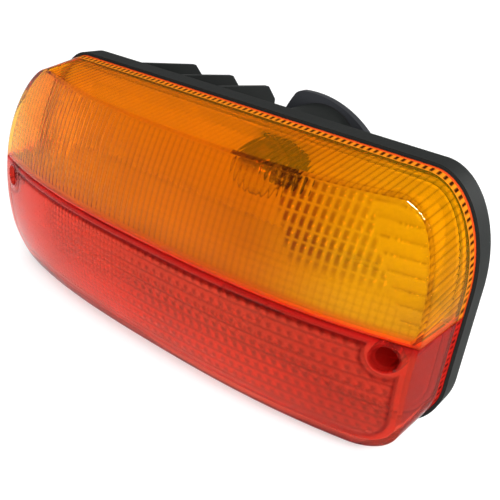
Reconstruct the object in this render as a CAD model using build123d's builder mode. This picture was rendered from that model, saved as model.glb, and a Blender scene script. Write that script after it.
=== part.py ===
"""Rear lamp cluster: a two-colour bowed lens on a moulded housing with two twist-in bulb carriers."""
import os
from math import acos, cos, degrees, radians, sin, sqrt

from build123d import *

os.makedirs("parts", exist_ok=True)

# The origin lies on the mounting face, midway between the two bolts.
# X runs along the lamp, the lens faces -Y, Z is up. All values are in mm and degrees.

# Lens outline where it meets the housing
LENS_LENGTH = 250.0
LENS_HEIGHT = 116.0
TOP_CORNER_X = 26.0
TOP_CORNER_Z = 45.0
LOW_CORNER_X = 25.0
LOW_CORNER_Z = 26.0
# Draft of the lens side band, as insets and corner changes over DRAFT_DEPTH
DRAFT_DEPTH = 60.0
SIDE_DRAFT = 3.7
TOP_DRAFT = 11.0
LOW_DRAFT = 9.3
TOP_CORNER_DX = 2.0
TOP_CORNER_DZ = -2.0
LOW_CORNER_DX = 8.0
LOW_CORNER_DZ = 16.0
# Front of the lens: depth at its ends, bow along X, bow along Z and backward lean of the top
EDGE_DEPTH = 19.8
BOW_ALONG_X = 17.7
BOW_POWER = 2.6
BOW_ALONG_Z = 14.8
LEAN = 4.85
LENS_WALL = 3.0
SEAM_Z = 2.9
SEAM_STEP_HEIGHT = 3.2
SEAM_STEP_DEPTH = 1.2
# Upright flutes inside the front of the amber lens
FLUTE_COUNT = 36
FLUTE_MARGIN = 35.0
FLUTE_DEPTH = 0.7

# Housing tray behind the lens
STAND_OFF = 57.0
TRAY_DEPTH = 12.0
HOUSING_EDGE = 1.7
TRAY_EDGE_R = 1.0
LENS_PLAY = 0.3
LENS_SINK = 1.5
GASKET_THICK = 2.0
GASKET_WIDTH = 3.0
LEDGE_WIDTH = 4.0
UPSTAND_THICK = 1.6
UPSTAND_RISE = 1.0
FLOOR_THICK = 2.8
# Mounting stand and bolts
BOLT_SPACING = 160.0
BOLT_R = 3.0
BOLT_REACH = 22.0
BOLT_NECK_R = 3.4
BOLT_HEAD_AF = 10.0
BOLT_HEAD_H = 4.0
PAD_THICK = 4.0
PAD_HEIGHT = 72.0
PAD_LEFT = -95.0
PAD_RIGHT = -14.0
WEB_THICK = 2.6
WEB_X = (-69.0, -42.0, -18.0)
LOW_WEB_X = -93.0
WEB_SHOULDER_Z = 55.5
WEB_SHOULDER_BACK = 7.0
WEB_END_Z = 48.0
BOSS_R = 10.0
BOSS_BORE_R = 7.0
BOSS_GUSSET_Z = 32.0
# Lens screws in their wells
SCREW_EDGE = 12.5
SCREW_Z = -4.5
WELL_R = 5.0
WELL_WALL = 1.5
WELL_DEPTH = 16.0
SCREW_R = 2.0
SCREW_PLAY = 0.4
SCREW_HEAD_R = 4.1
SCREW_HEAD_H = 2.8
SCREW_SEAL_THICK = 1.0
SCREW_RECESS_W = 1.2
PILLAR_R = 6.0
PILLAR_RISE = 6.0
INSERT_R = 3.4
INSERT_LENGTH = 9.0
# Bulb carriers behind the tray
CARRIER_X = 26.0
INDICATOR_Z = 36.5
STOP_Z = -28.0
SPIGOT_R = 22.0
SPIGOT_WALL = 3.0
SPIGOT_LENGTH = 23.5
SEAL_THICK = 1.5
FLOOR_HOLE_R = 17.0
PLATE_HALF_X = 26.0
PLATE_HALF_Z = 24.3
PLATE_CORNER_X = 23.2
PLATE_CORNER_Z = 18.6
PLATE_CORNER_R = 6.0
PLATE_TURN = 18.0
PLATE_THICK = 4.0
PLUG_PLAY = 0.4
PLUG_WALL = 2.0
PLUG_LENGTH = 18.0
PLUG_FLOOR = 2.0
SHROUD_X = 26.0
SHROUD_Z = 15.0
SHROUD_WALL = 1.8
SHROUD_LENGTH = 12.0
BLADE_WIDTH = 6.3
BLADE_THICK = 0.8
BLADE_PITCH = 5.2
BLADE_LENGTH = 9.0
BLADE_ROOT = 2.5
# Bulbs and their contacts
CAP_R = 7.6
CAP_LENGTH = 18.0
CAP_WALL = 0.5
SLEEVE_PLAY = 0.15
SLEEVE_WALL = 0.5
SLEEVE_LENGTH = 24.0
SOCKET_WALL = 1.8
DISC_THICK = 3.0
CONTACT_THICK = 1.0
CONTACT_R = 2.6
BASE_THICK = 1.5
GLASS_R = 12.6
GLASS_NECK_R = 6.6
GLASS_LENGTH = 32.0
GLASS_SINK = 8.0
GLASS_WALL = 0.8
# Reflectors and the plate between the two chambers
SHIELD_THICK = 2.0
SHIELD_PLAY = 0.4
MIRROR_THICK = 1.2
MIRROR_PLAY = 0.4
MIRROR_SLOPE = 9.0
MIRROR_RISE = 2.0
BULB_HOLE_R = 14.4

SCREW_X = LENS_LENGTH / 2 - SCREW_EDGE
FLUTE_SPAN = LENS_LENGTH - 2 * FLUTE_MARGIN
RIM_Y = -STAND_OFF
BACK_Y = RIM_Y + TRAY_DEPTH
FLOOR_Y = BACK_Y - FLOOR_THICK
LEDGE_Y = RIM_Y + LENS_SINK + GASKET_THICK
SEAT_Y = BACK_Y + SPIGOT_LENGTH
PLATE_Y = SEAT_Y + SEAL_THICK
PILLAR_Y = RIM_Y - PILLAR_RISE
UPSTAND_Y = RIM_Y - UPSTAND_RISE
TRAY_INSET = LEDGE_WIDTH + UPSTAND_THICK
HOUSING_TOP = LENS_HEIGHT / 2 + HOUSING_EDGE


def lean_at(z):
    """How far the front stands forward at height z, from the bow and the lean along Z."""
    share = z / (LENS_HEIGHT / 2)
    return BOW_ALONG_Z * (1 - share * share) - LEAN * share


def bow_at(x):
    """How far the front stands forward at x, from the bow along X."""
    return BOW_ALONG_X * (1 - abs(x / (LENS_LENGTH / 2)) ** BOW_POWER)


def front_y(x, z):
    """Y of the outer front of the lens."""
    return RIM_Y - EDGE_DEPTH - bow_at(x) - lean_at(z)


WELL_FLOOR_Y = front_y(SCREW_X, SCREW_Z) + WELL_DEPTH


def outline(y, grow, draft):
    """Lens outline on an upright plane at y, moved outwards by grow and drawn in by draft."""
    half = LENS_LENGTH / 2 - draft * SIDE_DRAFT + grow
    top = LENS_HEIGHT / 2 - draft * TOP_DRAFT + grow
    low = -LENS_HEIGHT / 2 + draft * LOW_DRAFT - grow
    top_rx = TOP_CORNER_X - draft * TOP_CORNER_DX + grow
    top_rz = TOP_CORNER_Z - draft * TOP_CORNER_DZ + grow
    low_rx = LOW_CORNER_X - draft * LOW_CORNER_DX + grow
    low_rz = LOW_CORNER_Z - draft * LOW_CORNER_DZ + grow
    with BuildSketch(Plane.XZ.offset(-y)) as profile:
        with BuildLine():
            Line((-half + top_rx, top), (half - top_rx, top))
            EllipticalCenterArc((half - top_rx, top - top_rz), top_rx, top_rz, 0, arc_size=90)
            Line((half, top - top_rz), (half, low + low_rz))
            EllipticalCenterArc((half - low_rx, low + low_rz), low_rx, low_rz, 270, arc_size=90)
            Line((half - low_rx, low), (-half + low_rx, low))
            EllipticalCenterArc((-half + low_rx, low + low_rz), low_rx, low_rz, 180, arc_size=90)
            Line((-half, low + low_rz), (-half, top - top_rz))
            EllipticalCenterArc((-half + top_rx, top - top_rz), top_rx, top_rz, 90, arc_size=90)
        make_face()
    return profile.sketch


def bow_plan(z, setback, fluted):
    """Plan of the space behind the lens front at height z; flutes are scallops cut forwards."""
    reach = LENS_LENGTH / 2 + 12
    fluted_half = FLUTE_SPAN / 2
    pitch = FLUTE_SPAN / FLUTE_COUNT

    def point(x, extra=0.0):
        return (x, front_y(x, z) + setback - extra)

    with BuildSketch(Plane.XY.offset(z)) as plan:
        with BuildLine():
            if fluted:
                Spline(point(-reach), point(-LENS_LENGTH / 2), point(-fluted_half))
                for flute in range(FLUTE_COUNT):
                    left = -fluted_half + flute * pitch
                    middle = left + pitch / 2
                    right = left + pitch
                    ThreePointArc(point(left), point(middle, FLUTE_DEPTH), point(right))
                Spline(point(fluted_half), point(LENS_LENGTH / 2), point(reach))
            else:
                half = LENS_LENGTH / 2
                Spline(
                    point(-reach),
                    point(-0.8 * half),
                    point(-0.45 * half),
                    point(0),
                    point(0.45 * half),
                    point(0.8 * half),
                    point(reach),
                )
            Polyline(point(reach), (reach, STAND_OFF), (-reach, STAND_OFF), point(-reach))
        make_face()
    return plan.sketch


def lens_space(inset, setback, back_y, fluted=False):
    """Solid inside the lens surface: the drafted outline, cut off by the bowed front."""
    limit = LENS_HEIGHT / 2 + 6
    front = RIM_Y - DRAFT_DEPTH
    with BuildPart() as space:
        loft([outline(RIM_Y, -inset, 0), outline(front, -inset, 1)], ruled=True)
        extrude(outline(RIM_Y, -inset, 0), amount=RIM_Y - back_y)
        with BuildLine() as path:
            ThreePointArc(
                (0, front_y(0, -limit), -limit),
                (0, front_y(0, 0), 0),
                (0, front_y(0, limit), limit),
            )
        sweep(
            bow_plan(-limit, setback, fluted),
            path=path.line,
            normal=(0, 0, 1),
            mode=Mode.INTERSECT,
        )
    return space.part


def round_bar(x, z, radius, start_y, end_y):
    """Round bar along Y between two depths."""
    with BuildPart() as bar:
        with BuildSketch(Plane.XZ.offset(-start_y)):
            with Locations((x, z)):
                Circle(radius)
        extrude(amount=start_y - end_y)
    return bar.part


lens_outer = lens_space(0, 0, RIM_Y + LENS_SINK)
lens_inner = lens_space(LENS_WALL, LENS_WALL, RIM_Y + LENS_SINK)
lens_inner_fluted = lens_space(LENS_WALL, LENS_WALL, RIM_Y + LENS_SINK, fluted=True)
seam_plane = Plane.XY.offset(SEAM_Z)

# Amber lens: the upper shell, with the upright flutes swept along the bow of its inner front
with BuildPart() as amber_lens:
    add(lens_outer)
    add(lens_inner_fluted, mode=Mode.SUBTRACT)
    split(bisect_by=seam_plane, keep=Keep.TOP)

# Strip along the top of the red lens that is stepped back from the amber edge
with BuildPart() as seam_step:
    add(lens_outer)
    add(lens_space(SEAM_STEP_DEPTH, SEAM_STEP_DEPTH, RIM_Y + LENS_SINK), mode=Mode.SUBTRACT)
    with Locations((0, RIM_Y - DRAFT_DEPTH / 2, SEAM_Z)):
        Box(2 * LENS_LENGTH, DRAFT_DEPTH, 2 * SEAM_STEP_HEIGHT, mode=Mode.INTERSECT)

# Room inside the red lens, leaving the two screw wells standing
with BuildPart() as red_room:
    add(lens_inner)
    for side in (-1, 1):
        add(
            round_bar(side * SCREW_X, SCREW_Z, WELL_R + WELL_WALL, RIM_Y - 2 * DRAFT_DEPTH, PILLAR_Y - LENS_PLAY),
            mode=Mode.SUBTRACT,
        )

with BuildPart() as red_lens:
    add(lens_outer)
    add(red_room.part, mode=Mode.SUBTRACT)
    split(bisect_by=seam_plane, keep=Keep.BOTTOM)
    add(seam_step.part, mode=Mode.SUBTRACT)
    for side in (-1, 1):
        add(round_bar(side * SCREW_X, SCREW_Z, WELL_R, RIM_Y - 2 * DRAFT_DEPTH, WELL_FLOOR_Y), mode=Mode.SUBTRACT)
        add(
            round_bar(side * SCREW_X, SCREW_Z, SCREW_R + SCREW_PLAY, WELL_FLOOR_Y - 1, PILLAR_Y),
            mode=Mode.SUBTRACT,
        )


def edge_ring(outer_inset, inner_inset, start_y, end_y):
    """Ring that follows the lens outline between two insets and two depths."""
    with BuildPart() as band:
        extrude(outline(start_y, -outer_inset, 0), amount=start_y - end_y)
        extrude(outline(start_y, -inner_inset, 0), amount=start_y - end_y, mode=Mode.SUBTRACT)
    return band.part


# Gasket under the edge of both lenses
with BuildPart() as lens_gasket:
    add(edge_ring(0, GASKET_WIDTH, LEDGE_Y, RIM_Y + LENS_SINK))


def web(x, height):
    """One upright web of the mounting stand, with a falling top edge and a bevelled rear corner."""
    with BuildPart() as plate:
        with BuildSketch(Plane.YZ.offset(x - WEB_THICK / 2)):
            with BuildLine():
                Polyline(
                    (BACK_Y - 1, -height),
                    (BACK_Y - 1, height),
                    (BACK_Y, height),
                    (-WEB_SHOULDER_BACK, min(height, WEB_SHOULDER_Z)),
                    (0, min(height, WEB_END_Z)),
                    (0, -min(height, WEB_END_Z)),
                    (-WEB_SHOULDER_BACK, -min(height, WEB_SHOULDER_Z)),
                    (BACK_Y, -height),
                    close=True,
                )
            make_face()
        extrude(amount=WEB_THICK)
    return plate.part


# Housing: tray with an upstand inside the lens edge, stand with webs and pad, bolt boss,
# spigots for the carriers, screw pillars
with BuildPart() as housing:
    extrude(outline(RIM_Y, HOUSING_EDGE, 0), amount=-TRAY_DEPTH)
    fillet(edges().group_by(Axis.Y)[-1], radius=TRAY_EDGE_R)
    extrude(outline(RIM_Y, LENS_PLAY, 0), amount=RIM_Y - LEDGE_Y, mode=Mode.SUBTRACT)
    extrude(outline(LEDGE_Y, -TRAY_INSET, 0), amount=LEDGE_Y - FLOOR_Y, mode=Mode.SUBTRACT)
    add(edge_ring(LEDGE_WIDTH, TRAY_INSET, LEDGE_Y, UPSTAND_Y))
    for web_x in WEB_X:
        add(web(web_x, HOUSING_TOP))
    add(web(LOW_WEB_X, PAD_HEIGHT / 2))
    with BuildSketch(Plane.XZ):
        with Locations(((PAD_LEFT + PAD_RIGHT) / 2, 0)):
            Rectangle(PAD_RIGHT - PAD_LEFT, PAD_HEIGHT)
        fillet(vertices(), radius=4)
    extrude(amount=PAD_THICK)
    with BuildSketch(Plane.YZ.offset(BOLT_SPACING / 2 - WEB_THICK / 2)):
        Polygon(
            (BACK_Y - 1, -BOSS_GUSSET_Z),
            (BACK_Y - 1, BOSS_GUSSET_Z),
            (-PAD_THICK, BOSS_R),
            (-PAD_THICK, -BOSS_R),
            align=None,
        )
    extrude(amount=WEB_THICK)
    with BuildSketch(Plane.XZ):
        with Locations((BOLT_SPACING / 2, 0)):
            Circle(BOSS_R)
    extrude(amount=-BACK_Y + 1)
    with BuildSketch(Plane.XZ.offset(-SEAT_Y)):
        with Locations((CARRIER_X, INDICATOR_Z), (CARRIER_X, STOP_Z)):
            Circle(SPIGOT_R)
    extrude(amount=SPIGOT_LENGTH + 1)
    with BuildSketch(Plane.XZ.offset(-FLOOR_Y)):
        with Locations((-SCREW_X, SCREW_Z), (SCREW_X, SCREW_Z)):
            Circle(PILLAR_R)
    extrude(amount=FLOOR_Y - PILLAR_Y)
    with BuildSketch(Plane.XZ.offset(-SEAT_Y)):
        with Locations((CARRIER_X, INDICATOR_Z), (CARRIER_X, STOP_Z)):
            Circle(SPIGOT_R - SPIGOT_WALL)
    extrude(amount=SPIGOT_LENGTH, mode=Mode.SUBTRACT)
    with BuildSketch(Plane.XZ.offset(-BACK_Y)):
        with Locations((CARRIER_X, INDICATOR_Z), (CARRIER_X, STOP_Z)):
            Circle(FLOOR_HOLE_R)
    extrude(amount=FLOOR_THICK, mode=Mode.SUBTRACT)
    with BuildSketch(Plane.XZ.offset(PAD_THICK)):
        with Locations((BOLT_SPACING / 2, 0)):
            Circle(BOSS_BORE_R)
    extrude(amount=-FLOOR_Y - PAD_THICK, mode=Mode.SUBTRACT)
    with BuildSketch(Plane.XZ):
        with Locations((-BOLT_SPACING / 2, 0), (BOLT_SPACING / 2, 0)):
            Circle(BOLT_NECK_R)
    extrude(amount=PAD_THICK, mode=Mode.SUBTRACT)
    with BuildSketch(Plane.XZ.offset(-PILLAR_Y)):
        with Locations((-SCREW_X, SCREW_Z), (SCREW_X, SCREW_Z)):
            Circle(INSERT_R)
    extrude(amount=-INSERT_LENGTH, mode=Mode.SUBTRACT)

# Mounting bolts held by their heads in the stand and the boss, with a thicker neck in the wall
with BuildPart() as mounting_bolts:
    with BuildSketch(Plane.XZ.offset(PAD_THICK)):
        with Locations((-BOLT_SPACING / 2, 0), (BOLT_SPACING / 2, 0)):
            RegularPolygon(BOLT_HEAD_AF / 2, 6, major_radius=False)
    extrude(amount=BOLT_HEAD_H)
    with BuildSketch(Plane.XZ):
        with Locations((-BOLT_SPACING / 2, 0), (BOLT_SPACING / 2, 0)):
            Circle(BOLT_NECK_R)
    extrude(amount=PAD_THICK)
    with BuildSketch(Plane.XZ):
        with Locations((-BOLT_SPACING / 2, 0), (BOLT_SPACING / 2, 0)):
            Circle(BOLT_R)
    extrude(amount=-BOLT_REACH)
    chamfer(edges().filter_by(GeomType.CIRCLE).group_by(Axis.Y)[-1], length=0.6)

# Brass inserts in the pillars, the lens screws and the seals under their heads
with BuildPart() as screw_inserts:
    with BuildSketch(Plane.XZ.offset(-PILLAR_Y)):
        with Locations((-SCREW_X, SCREW_Z), (SCREW_X, SCREW_Z)):
            Circle(INSERT_R)
            Circle(SCREW_R, mode=Mode.SUBTRACT)
    extrude(amount=-INSERT_LENGTH)

with BuildPart() as screw_seals:
    with BuildSketch(Plane.XZ.offset(-WELL_FLOOR_Y)):
        with Locations((-SCREW_X, SCREW_Z), (SCREW_X, SCREW_Z)):
            Circle(SCREW_HEAD_R)
            Circle(SCREW_R, mode=Mode.SUBTRACT)
    extrude(amount=SCREW_SEAL_THICK)

with BuildPart() as lens_screws:
    with BuildSketch(Plane.XZ.offset(-WELL_FLOOR_Y + SCREW_SEAL_THICK)):
        with Locations((-SCREW_X, SCREW_Z), (SCREW_X, SCREW_Z)):
            Circle(SCREW_HEAD_R)
    extrude(amount=SCREW_HEAD_H)
    fillet(edges().filter_by(GeomType.CIRCLE).group_by(Axis.Y)[0], radius=1.2)
    with BuildSketch(Plane.XZ.offset(-WELL_FLOOR_Y + SCREW_SEAL_THICK + SCREW_HEAD_H)):
        with Locations((-SCREW_X, SCREW_Z), (SCREW_X, SCREW_Z)):
            Rectangle(SCREW_HEAD_R, SCREW_RECESS_W)
            Rectangle(SCREW_RECESS_W, SCREW_HEAD_R)
    extrude(amount=-SCREW_HEAD_H / 2, mode=Mode.SUBTRACT)
    with BuildSketch(Plane.XZ.offset(-WELL_FLOOR_Y + SCREW_SEAL_THICK)):
        with Locations((-SCREW_X, SCREW_Z), (SCREW_X, SCREW_Z)):
            Circle(SCREW_R)
    extrude(amount=WELL_FLOOR_Y - SCREW_SEAL_THICK - PILLAR_Y - INSERT_LENGTH)


def mirror_pan(inset, floor_y):
    """Solid that fills the tray down to floor_y with sloping sides, drawn in by inset."""
    front = RIM_Y - MIRROR_RISE
    with BuildPart() as pan:
        loft(
            [
                outline(front, -TRAY_INSET - MIRROR_PLAY - inset, 0),
                outline(floor_y, -TRAY_INSET - MIRROR_PLAY - MIRROR_SLOPE - inset, 0),
            ],
            ruled=True,
        )
    return pan.part


def reflector(bulb_z, seam_offset, keep):
    """Bright pan for one chamber, cut off at the plate between the chambers and holed for its bulb."""
    with BuildPart() as bright:
        add(mirror_pan(0, FLOOR_Y))
        add(mirror_pan(MIRROR_THICK, FLOOR_Y - MIRROR_THICK), mode=Mode.SUBTRACT)
        split(bisect_by=Plane.XY.offset(SEAM_Z + seam_offset), keep=keep)
        add(round_bar(CARRIER_X, bulb_z, BULB_HOLE_R, RIM_Y, BACK_Y), mode=Mode.SUBTRACT)
        for side in (-1, 1):
            add(
                round_bar(side * SCREW_X, SCREW_Z, PILLAR_R + MIRROR_PLAY, RIM_Y - DRAFT_DEPTH, BACK_Y),
                mode=Mode.SUBTRACT,
            )
    return bright.part


shield_gap = SHIELD_THICK / 2 + MIRROR_PLAY / 2
with BuildPart() as indicator_reflector:
    add(reflector(INDICATOR_Z, shield_gap, Keep.TOP))
with BuildPart() as stop_tail_reflector:
    add(reflector(STOP_Z, -shield_gap, Keep.BOTTOM))

# Plate between the two chambers, following the inside of the lens
with BuildPart() as light_shield:
    add(lens_space(LENS_WALL + SHIELD_PLAY + 1, LENS_WALL + SHIELD_PLAY, FLOOR_Y))
    with Locations((0, RIM_Y, SEAM_Z)):
        Box(2 * LENS_LENGTH, 4 * DRAFT_DEPTH, SHIELD_THICK, mode=Mode.INTERSECT)
    add(edge_ring(0, TRAY_INSET + SHIELD_PLAY, FLOOR_Y, UPSTAND_Y - SHIELD_PLAY), mode=Mode.SUBTRACT)
    for side in (-1, 1):
        add(
            round_bar(side * SCREW_X, SCREW_Z, WELL_R + WELL_WALL + SHIELD_PLAY, RIM_Y - 2 * DRAFT_DEPTH, BACK_Y),
            mode=Mode.SUBTRACT,
        )


def carrier(z, blade_count):
    """Twist-in bulb carrier: turned grip plate, hollow plug, socket tube and connector shroud."""
    turn = radians(PLATE_TURN)
    plate_plane = Plane(
        origin=(CARRIER_X, PLATE_Y, z), x_dir=(cos(turn), 0, -sin(turn)), z_dir=(0, -1, 0)
    )
    rear_plane = Plane.XZ.offset(-PLATE_Y - PLATE_THICK)
    plug_r = SPIGOT_R - SPIGOT_WALL - PLUG_PLAY
    socket_r = CAP_R + SLEEVE_PLAY + SLEEVE_WALL
    with BuildPart() as body:
        with BuildSketch(plate_plane):
            with BuildLine():
                ThreePointArc(
                    (-PLATE_CORNER_X, PLATE_CORNER_Z), (0, PLATE_HALF_Z), (PLATE_CORNER_X, PLATE_CORNER_Z)
                )
                ThreePointArc(
                    (PLATE_CORNER_X, PLATE_CORNER_Z), (PLATE_HALF_X, 0), (PLATE_CORNER_X, -PLATE_CORNER_Z)
                )
                ThreePointArc(
                    (PLATE_CORNER_X, -PLATE_CORNER_Z), (0, -PLATE_HALF_Z), (-PLATE_CORNER_X, -PLATE_CORNER_Z)
                )
                ThreePointArc(
                    (-PLATE_CORNER_X, -PLATE_CORNER_Z), (-PLATE_HALF_X, 0), (-PLATE_CORNER_X, PLATE_CORNER_Z)
                )
            make_face()
            fillet(vertices(), radius=PLATE_CORNER_R)
        extrude(amount=-PLATE_THICK)
        with BuildSketch(plate_plane):
            Circle(plug_r)
        extrude(amount=PLUG_LENGTH)
        with BuildSketch(plate_plane.offset(PLUG_FLOOR)):
            Circle(plug_r - PLUG_WALL)
            Circle(socket_r + SOCKET_WALL, mode=Mode.SUBTRACT)
        extrude(amount=PLUG_LENGTH, mode=Mode.SUBTRACT)
        with BuildSketch(plate_plane.offset(PLUG_FLOOR)):
            Circle(socket_r)
        extrude(amount=PLUG_LENGTH, mode=Mode.SUBTRACT)
        with BuildSketch(rear_plane):
            with Locations((CARRIER_X, z)):
                Rectangle(SHROUD_X, SHROUD_Z)
            fillet(vertices(), radius=2)
            with Locations((CARRIER_X, z)):
                Rectangle(SHROUD_X - 2 * SHROUD_WALL, SHROUD_Z - 2 * SHROUD_WALL, mode=Mode.SUBTRACT)
        extrude(amount=-SHROUD_LENGTH)
        with BuildSketch(rear_plane):
            with Locations((CARRIER_X, z)):
                with GridLocations(BLADE_PITCH, 0, blade_count, 1):
                    Rectangle(BLADE_THICK, BLADE_WIDTH)
        extrude(amount=BLADE_ROOT, mode=Mode.SUBTRACT)
    return body.part


def blades(z, blade_count):
    """Flat terminals standing in the connector shroud."""
    with BuildPart() as tabs:
        with BuildSketch(Plane.XZ.offset(BLADE_ROOT - PLATE_Y - PLATE_THICK)):
            with Locations((CARRIER_X, z)):
                with GridLocations(BLADE_PITCH, 0, blade_count, 1):
                    Rectangle(BLADE_THICK, BLADE_WIDTH)
        extrude(amount=-BLADE_ROOT - BLADE_LENGTH)
    return tabs.part


def ring(z, outer_r, inner_r, start_y, end_y):
    """Ring or tube around a bulb axis."""
    with BuildPart() as tube:
        with BuildSketch(Plane.XZ.offset(-start_y)):
            with Locations((CARRIER_X, z)):
                Circle(outer_r)
                if inner_r > 0:
                    Circle(inner_r, mode=Mode.SUBTRACT)
        extrude(amount=start_y - end_y)
    return tube.part


def end_contacts(z, start_y, end_y, spread):
    """Contact pads between the insulating disc and the bulb, one or two side by side."""
    with BuildPart() as pads:
        with BuildSketch(Plane.XZ.offset(-start_y)):
            for offset in spread:
                with Locations((CARRIER_X + offset, z)):
                    Circle(CONTACT_R)
        extrude(amount=start_y - end_y)
    return pads.part


def bulb_glass(z, neck_y):
    """Blown bulb: a cylindrical neck running into a ball, as one thin wall."""
    ball_y = neck_y - GLASS_LENGTH + GLASS_R
    foot_y = neck_y + GLASS_SINK
    in_r = GLASS_R - GLASS_WALL
    in_neck = GLASS_NECK_R - GLASS_WALL
    with BuildPart() as glass:
        with BuildSketch(Plane.XY.offset(z)):
            with BuildLine():
                Line((CARRIER_X + in_neck, foot_y), (CARRIER_X + GLASS_NECK_R, foot_y))
                Line(
                    (CARRIER_X + GLASS_NECK_R, foot_y),
                    (CARRIER_X + GLASS_NECK_R, ball_y + sqrt(GLASS_R**2 - GLASS_NECK_R**2)),
                )
                CenterArc((CARRIER_X, ball_y), GLASS_R, -90, 90 + degrees(acos(GLASS_NECK_R / GLASS_R)))
                Line((CARRIER_X, ball_y - GLASS_R), (CARRIER_X, ball_y - in_r))
                CenterArc((CARRIER_X, ball_y), in_r, -90, 90 + degrees(acos(in_neck / in_r)))
                Line(
                    (CARRIER_X + in_neck, ball_y + sqrt(in_r**2 - in_neck**2)),
                    (CARRIER_X + in_neck, foot_y),
                )
            make_face()
        revolve(axis=Axis((CARRIER_X, 0, z), (0, 1, 0)))
    return glass.part


# Stack on each bulb axis, from the carrier's plug floor forwards to the glass
DISC_Y = PLATE_Y - PLUG_FLOOR
CONTACT_Y = DISC_Y - DISC_THICK
BASE_Y = CONTACT_Y - CONTACT_THICK
CAP_Y = BASE_Y - BASE_THICK
NECK_Y = CAP_Y - CAP_LENGTH
sleeve_in = CAP_R + SLEEVE_PLAY
sleeve_out = sleeve_in + SLEEVE_WALL
seal_in = SPIGOT_R - SPIGOT_WALL

with BuildPart() as indicator_carrier:
    add(carrier(INDICATOR_Z, 2))
with BuildPart() as indicator_seal:
    add(ring(INDICATOR_Z, SPIGOT_R, seal_in, PLATE_Y, SEAT_Y))
with BuildPart() as indicator_sleeve:
    add(ring(INDICATOR_Z, sleeve_out, sleeve_in, DISC_Y, DISC_Y - SLEEVE_LENGTH))
with BuildPart() as indicator_disc:
    add(ring(INDICATOR_Z, CAP_R, 0, DISC_Y, CONTACT_Y))
with BuildPart() as indicator_contact:
    add(end_contacts(INDICATOR_Z, CONTACT_Y, BASE_Y, (0,)))
with BuildPart() as indicator_terminals:
    add(blades(INDICATOR_Z, 2))
with BuildPart() as indicator_bulb_base:
    add(ring(INDICATOR_Z, CAP_R - CAP_WALL, 0, BASE_Y, CAP_Y))
with BuildPart() as indicator_bulb_cap:
    add(ring(INDICATOR_Z, CAP_R, CAP_R - CAP_WALL, BASE_Y, NECK_Y))
with BuildPart() as indicator_bulb_glass:
    add(bulb_glass(INDICATOR_Z, NECK_Y))

with BuildPart() as stop_tail_carrier:
    add(carrier(STOP_Z, 3))
with BuildPart() as stop_tail_seal:
    add(ring(STOP_Z, SPIGOT_R, seal_in, PLATE_Y, SEAT_Y))
with BuildPart() as stop_tail_sleeve:
    add(ring(STOP_Z, sleeve_out, sleeve_in, DISC_Y, DISC_Y - SLEEVE_LENGTH))
with BuildPart() as stop_tail_disc:
    add(ring(STOP_Z, CAP_R, 0, DISC_Y, CONTACT_Y))
with BuildPart() as stop_tail_contacts:
    add(end_contacts(STOP_Z, CONTACT_Y, BASE_Y, (-CONTACT_R - 0.6, CONTACT_R + 0.6)))
with BuildPart() as stop_tail_terminals:
    add(blades(STOP_Z, 3))
with BuildPart() as stop_tail_bulb_base:
    add(ring(STOP_Z, CAP_R - CAP_WALL, 0, BASE_Y, CAP_Y))
with BuildPart() as stop_tail_bulb_cap:
    add(ring(STOP_Z, CAP_R, CAP_R - CAP_WALL, BASE_Y, NECK_Y))
with BuildPart() as stop_tail_bulb_glass:
    add(bulb_glass(STOP_Z, NECK_Y))

pieces = {
    "amber_lens": amber_lens,
    "red_lens": red_lens,
    "lens_gasket": lens_gasket,
    "housing": housing,
    "indicator_reflector": indicator_reflector,
    "stop_tail_reflector": stop_tail_reflector,
    "light_shield": light_shield,
    "mounting_bolts": mounting_bolts,
    "screw_inserts": screw_inserts,
    "screw_seals": screw_seals,
    "lens_screws": lens_screws,
    "indicator_carrier": indicator_carrier,
    "indicator_seal": indicator_seal,
    "indicator_sleeve": indicator_sleeve,
    "indicator_disc": indicator_disc,
    "indicator_contact": indicator_contact,
    "indicator_terminals": indicator_terminals,
    "indicator_bulb_base": indicator_bulb_base,
    "indicator_bulb_cap": indicator_bulb_cap,
    "indicator_bulb_glass": indicator_bulb_glass,
    "stop_tail_carrier": stop_tail_carrier,
    "stop_tail_seal": stop_tail_seal,
    "stop_tail_sleeve": stop_tail_sleeve,
    "stop_tail_disc": stop_tail_disc,
    "stop_tail_contacts": stop_tail_contacts,
    "stop_tail_terminals": stop_tail_terminals,
    "stop_tail_bulb_base": stop_tail_bulb_base,
    "stop_tail_bulb_cap": stop_tail_bulb_cap,
    "stop_tail_bulb_glass": stop_tail_bulb_glass,
}
for name, piece in pieces.items():
    piece.part.label = name
    export_step(piece.part, f"parts/{name}.step")
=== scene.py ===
"""Looks of the rear lamp cluster: lenses, bulbs, fixings, finishes and the stage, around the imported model."""
import math

import bmesh
import bpy
from bpy.props import FloatProperty, FloatVectorProperty, PointerProperty
from mathutils import Matrix, Quaternion, Vector

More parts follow.
